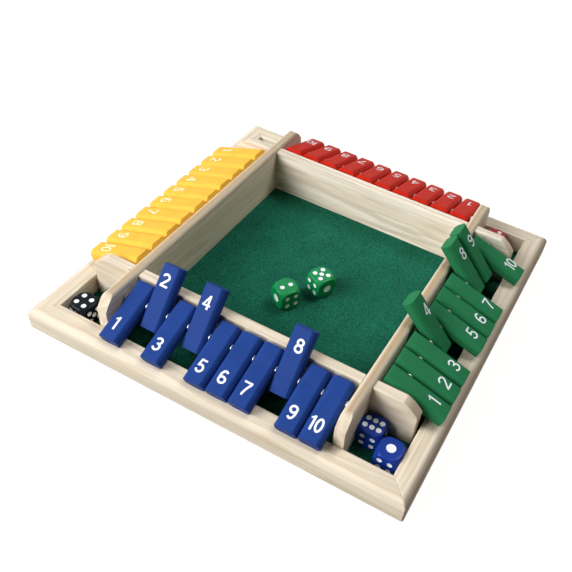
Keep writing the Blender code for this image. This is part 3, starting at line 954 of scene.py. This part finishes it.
digitLook = {
    "height": 10.2,
    "width": 6.3,
    "oneWidth": 3.8,           # of the 1 on its own
    "tenWidth": 9.6,
    "tenOne": 3.2,             # the 1 of the 10, and where its 0 starts
    "tenZero": 3.9,
    "cell": 0.22,
    "margin": 0.6,             # of the lattice round a figure
    "keep": 0.45,              # cells reach so far past a stroke, in cells
    "pull": 0.8,               # the most that a border corner moves, in cells
    "raised": 0.05,
    "sunk": 0.03,
    "stroke": {"blue": 1.6, "green": 1.3, "red": 1.3, "yellow": 1.4},
    # Middles of the prints, across and along from the axle, on the top and on the underside
    "topMiddle": {"blue": (-0.9, -21.9), "green": (1.4, -22.0), "red": (0.0, -22.0),
                  "yellow": (0.0, -22.0)},
    "underMiddle": {"blue": (-0.9, -22.0), "green": (1.4, -21.6), "red": (0.0, -21.6),
                    "yellow": (0.0, -21.6)},
    # Prints on an underside that sit off the others' place
    "printShift": {("blue", 8): (1.8, 0.0), ("blue", 2): (0.0, -1.2)},
}


# Points on an upright oval from one angle to another, in degrees, turning the way of the sign.
def ovalPoints(middle, radii, start, end, steps=26):
    angle = np.radians(np.linspace(start, end, steps + 1))
    return np.stack([middle[0] + radii[0] * np.cos(angle), middle[1] + radii[1] * np.sin(angle)], -1)


# Points on a curve from a to b, drawn towards c: (1-t)^2 a + 2 t (1-t) c + t^2 b.
def pulledLine(a, c, b, steps=10):
    t = np.linspace(0, 1, steps + 1)[:, None]
    return (1 - t) ** 2 * np.array(a) + 2 * t * (1 - t) * np.array(c) + t ** 2 * np.array(b)


# The strokes of a sign in a box w wide and t tall, as (points, stroke width); s is the full width,
# and the shares of the box are each figure's own drawing.
def signStrokes(sign, w, t, s):
    h, c = s / 2, w / 2
    a, b = c - h, t / 2 - h
    if sign == "0":
        return [(ovalPoints((c, t / 2), (a, b), 0, 360, 48), s)]
    if sign == "1":
        stem = c + 0.55
        flag = pulledLine((stem, t - 0.35 * h), (stem - 0.9, t - 1.75), (stem - 2.5, t - 2.2))
        return [([(stem, 0), (stem, t)], s), (flag, s * 0.72)]
    if sign == "2":
        r = 0.50 * b
        over = ovalPoints((c, t - h - r), (a, r), 172, -28)
        down = pulledLine(over[-1], (c + 0.75 * a, t - h - 1.75 * r), (0.75 * h, 0.8 * s))
        return [(np.concatenate([over, down[1:]]), s), ([(0, h), (w, h)], s)]
    if sign == "3":
        r, q = 0.47 * b, 0.53 * b
        upper = ovalPoints((c, t - h - r), (a - 0.25, r), 165, -90)
        lower = ovalPoints((c, h + q), (a, q), 90, -165)
        return [(upper, s), (lower, s), ([(c - 0.8, h + 2 * q), (c + 0.3, h + 2 * q)], s * 0.9)]
    if sign == "4":
        stem, level = 0.70 * w, 0.29 * t
        return [([(stem, 0), (stem, t)], s), ([(0, level), (w, level)], s * 0.82),
                ([(0.42 * s, level - 0.1), (stem + 0.05 * s, t + 0.1)], s * 0.74)]
    if sign == "5":
        r = 0.295 * t - h * 0.55
        bowl = ovalPoints((c - 0.05, h + r), (a, r), 140, -162)
        return [(bowl, s), ([(0.24 * w, t - 0.9 * h), (0.95 * w, t - 0.9 * h)], s * 0.9),
                ([(0.31 * w, t - 0.1), (0.31 * w - 0.75, 0.46 * t)], s * 0.86)]
    if sign == "6":
        r = 0.52 * b
        return [(ovalPoints((c, h + r), (a, r), 0, 360, 40), s),
                (ovalPoints((c + 0.1, t / 2), (a + 0.1, b), 48, 205, 36), s)]
    if sign == "7":
        slope = pulledLine((w - 0.8 * h, t - 0.9 * s), (0.46 * w, 0.46 * t), (0.36 * w, 0))
        return [([(0, t - 0.92 * h), (w, t - 0.92 * h)], s * 0.92), (slope, s)]
    if sign == "8":
        r, q = 0.46 * b, 0.54 * b
        return [(ovalPoints((c, t - h - r), (a - 0.35, r), 0, 360, 40), s),
                (ovalPoints((c, h + q), (a, q), 0, 360, 40), s)]
    turned = signStrokes("6", w, t, s)
    return [(np.array([w, t]) - points, width) for points, width in turned]


# Distance to a stroke, negative inside: the least distance to its lines less half the width, and
# beyond a loose end the distance past the end, so that strokes are cut square.
def strokeField(x, y, points, width):
    points = np.asarray(points, float)
    place = np.stack([x, y], -1)[..., None, :]
    start, run = points[:-1], np.diff(points, axis=0)
    share = ((place - start) * run).sum(-1) / np.maximum((run ** 2).sum(-1), 1e-9)
    near = start + np.clip(share, 0, 1)[..., None] * run
    field = np.sqrt(((place - near) ** 2).sum(-1)).min(-1) - width / 2
    if np.hypot(*(points[0] - points[-1])) < 0.01:
        return field
    for end, inward in ((points[0], points[1]), (points[-1], points[-2])):
        way = (end - inward) / np.hypot(*(end - inward))
        past = (x - end[0]) * way[0] + (y - end[1]) * way[1]
        close = np.hypot(x - end[0], y - end[1]) < width
        field = np.where(close, np.maximum(field, past), field)
    return field


# The least of the strokes' distances, cut at the top and the foot of the figure.
def digitField(sign, x, y, w, t, s):
    strokes = signStrokes(sign, w, t, s)
    field = np.min([strokeField(x, y, points, width) for points, width in strokes], axis=0)
    return np.maximum(field, np.maximum(-y, y - t))


# A thin raised print: lattice cells inside the field, with their border moved onto its zero line
# by p - f grad f / |grad f|^2, and a wall and a back below.
def printPoints(field, x, y, look):
    cell = x[1, 0] - x[0, 0]
    gx, gy = np.gradient(field, cell)
    keep = field < look["keep"] * cell
    cells = keep[:-1, :-1] & keep[1:, :-1] & keep[1:, 1:] & keep[:-1, 1:]
    index = np.arange(field.size).reshape(field.shape)
    quads = cellCorners(index)[cells]
    edges = np.stack([quads, np.roll(quads, -1, 1)], -1).reshape(-1, 2)
    # An edge that only one cell has lies on the border.
    _, first, count = np.unique(np.sort(edges, 1), axis=0, return_index=True, return_counts=True)
    border = edges[first[count == 1]]
    used, flat = np.unique(quads, return_inverse=True)
    quads = flat.reshape(quads.shape)
    border = np.searchsorted(used, border)
    px, py, f = x.ravel()[used], y.ravel()[used], field.ravel()[used]
    dx, dy = gx.ravel()[used], gy.ravel()[used]
    onBorder = np.zeros(len(used), bool)
    onBorder[border.ravel()] = True
    step = np.where(onBorder, f / np.maximum(dx ** 2 + dy ** 2, 0.05), 0.0)
    step = np.clip(step, -look["pull"] * cell, look["pull"] * cell)
    px, py = px - step * dx, py - step * dy
    top = np.stack([px, py, np.full(len(px), look["raised"])], -1)
    back = np.stack([px, py, np.full(len(px), -look["sunk"])], -1)
    n = len(used)
    walls = np.stack([border[:, 1], border[:, 0], border[:, 0] + n, border[:, 1] + n], -1)
    return np.concatenate([top, back]), [quads, quads[:, ::-1] + n, walls]


# One number, centred on the origin of a plane: one digit, or a narrow 1 and 0 side by side.
def numberPlate(number, stroke, look):
    height, cell, margin = look["height"], look["cell"], look["margin"]
    span = {1: look["oneWidth"], 10: look["tenWidth"]}.get(number, look["width"])
    x, y = np.meshgrid(np.arange(-margin, span + margin + cell, cell),
                       np.arange(-margin, height + margin + cell, cell), indexing="ij")
    if number == 10:
        start = look["tenZero"]
        field = np.minimum(digitField("1", x, y, look["tenOne"], height, stroke),
                           digitField("0", x - start, y, span - start, height, stroke))
    else:
        field = digitField(str(number), x, y, span, height, stroke)
    points, faces = printPoints(field, x, y, look)
    return points - [span / 2, height / 2, 0.0], faces


# Both faces of a tile: on the top the number stands up towards the tail, and on the underside
# towards the head.
def numberPoints(number, colour, faceHeight, look):
    points, faces = numberPlate(number, look["stroke"][colour], look)
    upper = points + [*look["topMiddle"][colour], faceHeight]
    shift = look["printShift"].get((colour, number), (0.0, 0.0))
    under = points * [1, -1, -1] + [*look["underMiddle"][colour], -faceHeight] + [*shift, 0.0]
    return np.concatenate([upper, under]), [np.concatenate([f, f + len(points)]) for f in faces]


def makeTiles(enamels, inks, look=tileLook):
    joints = {joint["child"]: joint for joint in frame["joints"]}
    for name in sorted(n for n in frame["nodes"] if n.startswith("tile_")):
        colour, number = name.split("_")[1], int(name.split("_")[2])
        pivot, axes, low, high = tileFrame(name, joints[name])
        rings = tilePoints(low, high, look)
        points = rings.reshape(-1, 3) * mm @ axes + pivot
        faces = [gridFaces(len(rings), rings.shape[1], wrapRows=True, wrapCols=True)]
        mesh = putMesh(name + "_fine", points, faces, sharpAngle=50)
        addPiece(name + "_fine", mesh, enamels[colour], name, [name])
        points, faces = numberPoints(number, colour, high[2], digitLook)
        mesh = putMesh(f"number_{colour}_{number:02d}", points * mm @ axes + pivot, faces)
        addPiece(f"number_{colour}_{number:02d}", mesh, inks[colour], name)
    print("tiles and numbers made")


# Axles

axleLook = {"rod": 1.5, "rodEase": 0.3, "ring": 2.8, "ringEase": 0.18, "gap": 0.25, "sides": 40}


# A rod with an eased ring in each gap between tiles: radii along the axle, spun about it.
def makeAxles(material, look=axleLook):
    rod, rodEase, ring, ease = (look[key] for key in ("rod", "rodEase", "ring", "ringEase"))
    for colour in ("blue", "green", "red", "yellow"):
        low, high = (np.array(corner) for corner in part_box("axle_" + colour))
        along = 0 if high[0] - low[0] > high[1] - low[1] else 1
        middle = (low + high) / 2
        half = (high - low)[along] / 2 / mm
        tiles = [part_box(name) for name in frame["nodes"] if name.startswith("tile_" + colour)]
        edges = sorted((corner[along] - middle[along]) / mm for tile in tiles for corner in tile)
        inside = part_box("long_wall_right")[0].x if along == 0 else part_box("cross_board_back")[0].y
        spans = np.array([-inside / mm, *edges, inside / mm]).reshape(-1, 2)
        profile = [[-half, 0.0], [-half, rod - rodEase], [-half + rodEase, rod]]
        for start, stop in spans + [look["gap"], -look["gap"]]:
            profile += [[start, rod], [start, ring - ease], [start + ease, ring],
                        [stop - ease, ring], [stop, ring - ease], [stop, rod]]
        profile += [[half - rodEase, rod], [half, rod - rodEase], [half, 0.0]]
        profile = np.array(profile)
        angle = np.linspace(0, 2 * math.pi, look["sides"], endpoint=False)
        p, r = profile[:, :1], profile[:, 1:]
        rings = np.stack([p + 0 * angle, r * np.cos(angle), r * np.sin(angle)], -1)
        if along == 1:
            rings = rings[..., [1, 0, 2]]
        mesh = putMesh("axle_" + colour + "_fine", rings * mm + middle,
                       [gridFaces(len(profile), look["sides"], wrapCols=True)], sharpAngle=30)
        addPiece("axle_" + colour + "_fine", mesh, material, trayBody, ["axle_" + colour])
    print("axles made")


# Dice

diceLook = {
    "edge": 1.2,
    "ball": 12.4,              # radius of the ball that rounds the corners
    "blend": 0.5,
    "cells": 40,
    "cellSpread": 1.25,        # radians of a sine that draws the cells together at the edges
    "halvings": 26,
    "pip": 1.9,
    "bigPip": 3.3,
    "spread": 3.72,
    "dish": 0.40,
    "underPaint": 0.05,        # the die's own dip lies so much deeper than a pip's edge
    "paint": 0.02,             # thickness of the paint over the dish
    "pipRings": 6,
    "pipSides": 28,
    # Turn about Z in degrees, and the numbers on the top, front and left faces
    "die_green_1": (61, 2, 4, 1),
    "die_green_2": (64, 5, 1, 4),
    "die_blue_1": (0, 6, 4, 5),
    "die_blue_2": (0, 1, 4, 2),
    "die_black_1": (-7, 4, 6, 2),
    "die_black_2": (2, 5, 6, 3),
    "die_red_1": (21, 3, 2, 6),
}
# A die of a pair that the frame has no node for: the die it copies, and its place on the lining
loosePairs = {"die_black_2": ("die_black_1", (-107.9, -107.9))}
pipLayouts = {
    1: [(0, 0)],
    2: [(-1, 0), (1, 0)],
    3: [(-1, -1), (0, 0), (1, 1)],
    4: [(-1, -1), (-1, 1), (1, -1), (1, 1)],
    5: [(-1, -1), (-1, 1), (0, 0), (1, -1), (1, 1)],
    6: [(-1.34, -0.8), (0, -0.8), (1.34, -0.8), (-1.34, 0.8), (0, 0.8), (1.34, 0.8)],
}
# Each face as (its outward axis, the two axes that lie in it)
dieFaces = {
    "top": ((0, 0, 1), (1, 0, 0), (0, 1, 0)),
    "bottom": ((0, 0, -1), (1, 0, 0), (0, -1, 0)),
    "front": ((0, -1, 0), (1, 0, 0), (0, 0, 1)),
    "back": ((0, 1, 0), (-1, 0, 0), (0, 0, 1)),
    "left": ((-1, 0, 0), (0, -1, 0), (0, 0, 1)),
    "right": ((1, 0, 0), (0, 1, 0), (0, 0, 1)),
}


# A face of a cube ground in a ball: along each direction from the middle, the place where the
# larger of the distances to the rounded cube and to the ball is zero, found by halving; over a
# pip it dips by d (1 - (r / R)^2).
def dieFace(axes, half, pips, look):
    out, right, up = (np.array(axis, float) for axis in axes)
    lean = look["cellSpread"]
    step = np.sin(np.linspace(-1, 1, look["cells"] + 1) * lean) / math.sin(lean)
    a, b = np.meshgrid(step, step, indexing="ij")
    way = a[..., None] * right + b[..., None] * up + out
    way /= np.linalg.norm(way, axis=-1, keepdims=True)
    low, high = np.full(a.shape, half * 0.9), np.full(a.shape, half * 2.0)
    for _ in range(look["halvings"]):
        reach = (low + high) / 2
        outer = np.clip(np.abs(way) * reach[..., None] - (half - look["edge"]), 0, None)
        cube = np.linalg.norm(outer, axis=-1) - look["edge"]
        inside = -softMin(-cube, look["ball"] - reach, look["blend"]) < 0
        low, high = np.where(inside, reach, low), np.where(inside, high, reach)
    points = way * low[..., None]
    for (px, py), radius in pips:
        share = np.hypot(points @ right - px, points @ up - py) / radius
        dip = np.where(share < 1, look["dish"] * (1 - share ** 2) + look["underPaint"], 0.0)
        points = points - dip[..., None] * out
    return points


# A pip: rings of a shallow dish, z = -d (1 - (r / R)^2), that lies in the die's own dip.
def pipDish(axes, half, place, radius, look):
    out, right, up = (np.array(axis, float) for axis in axes)
    count, sides, paint = look["pipRings"], look["pipSides"], look["paint"]
    ring = np.linspace(0.0, 1.0, count + 1)[1:] * radius
    angle = np.linspace(0, 2 * math.pi, sides, endpoint=False)
    r, t = np.meshgrid(ring, angle, indexing="ij")
    depth = look["dish"] * (1 - (r / radius) ** 2) - paint
    across, rise = place[0] + r * np.cos(t), place[1] + r * np.sin(t)
    flat = across[..., None] * right + rise[..., None] * up
    rim = flat + (half - depth)[..., None] * out
    middle = place[0] * right + place[1] * up + (half - look["dish"] + paint) * out
    points = np.concatenate([rim.reshape(-1, 3), [middle]])
    inner = np.arange(sides)
    fan = np.stack([inner, np.roll(inner, -1), np.full(sides, len(points) - 1)], -1)
    return points, gridFaces(count, sides, wrapCols=True), fan[:, ::-1]


# One die and its pips, from the numbers on the top, front and left faces; opposite ones make seven.
def dieMeshes(name, place, turn, numbers, half, look):
    top, front, left = numbers
    shown = {"top": top, "bottom": 7 - top, "front": front, "back": 7 - front, "left": left,
             "right": 7 - left}
    c, s = math.cos(math.radians(turn)), math.sin(math.radians(turn))
    rotate = np.array([[c, s, 0], [-s, c, 0], [0, 0, 1]])
    body, dishes, quads, fans, start = [], [], [], [], 0
    for side, axes in dieFaces.items():
        number = shown[side]
        radius = look["bigPip"] if number == 1 else look["pip"]
        pips = [((u * look["spread"], v * look["spread"]), radius) for u, v in pipLayouts[number]]
        body.append(dieFace(axes, half, pips, look))
        for spot, size in pips:
            points, grid, fan = pipDish(axes, half, spot, size, look)
            dishes.append(points)
            quads.append(grid + start)
            fans.append(fan + start)
            start += len(points)
    count = look["cells"] + 1
    faces = gridFaces(count, count)
    points = np.concatenate([face.reshape(-1, 3) for face in body])
    # Neighbouring faces share their border points, so equal places become one vertex.
    _, first, back = np.unique(np.round(points, 4), axis=0, return_index=True, return_inverse=True)
    joined = back.ravel()[np.concatenate([faces + k * count ** 2 for k in range(6)])]
    cube = putMesh(name + "_fine", points[first] * mm @ rotate + place, [joined], sharpAngle=60)
    pips = putMesh(name + "_pips", np.concatenate(dishes) * mm @ rotate + place,
                   [np.concatenate(quads), np.concatenate(fans)], sharpAngle=60, faceOut=False)
    return cube, pips


def makeDice(acrylics, ink, look=diceLook):
    low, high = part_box("die_blue_2")
    half = (high.z - low.z) / 2 / mm
    nodeDice = sorted(n for n in frame["nodes"] if n.startswith("die_"))
    for name in nodeDice + list(loosePairs):
        loose = name in loosePairs
        lowest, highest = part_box(loosePairs[name][0] if loose else name)
        place = np.array((lowest + highest) / 2)
        if loose:
            place[:2] = np.array(loosePairs[name][1]) * mm
        turn, *numbers = look[name]
        cube, pips = dieMeshes(name, place, turn, numbers, half, look)
        colour = name.split("_")[1]
        body = trayBody if loose else name
        addPiece(name if loose else name + "_fine", cube, acrylics[colour], body,
                 () if loose else [name])
        addPiece(name + "_pips", pips, ink, body)
    print("dice made")


# The whole game

makeCamera()
makeLight()
makeFloor()
makeRails()
makeBoards(("long_wall_left", "long_wall_right"), "y", "cross_board_front", longWallLook)
makeBoards(("cross_board_front", "cross_board_back"), "x", "long_wall_right", crossBoardLook)
makeLining(makeLeatherette())
enamels = {colour: makeEnamel(colour) for colour in ("blue", "green", "red", "yellow")}
printedInk, thinInk = makeInk("printed_white_ink"), makeInk("thin_printed_ink", thinInkLook)
makeTiles(enamels, {"blue": printedInk, "green": printedInk, "red": printedInk, "yellow": thinInk})
makeAxles(makeSteel())
acrylics = {colour: makeAcrylic(colour) for colour in ("green", "blue", "black", "red")}
makeDice(acrylics, makeInk("dabbed_white_ink"))
# The base board keeps its CAD mesh: it lies under the lining, and its underside is plain.
baseBoard = frame["nodes"]["base_board"]
baseBoard.data.materials.clear()
baseBoard.data.materials.append(makePine("sanded_plywood", "x", (0, 0, 0), (0, 130), plywoodLook))
bpy.context.scene.view_settings.view_transform = "Standard"
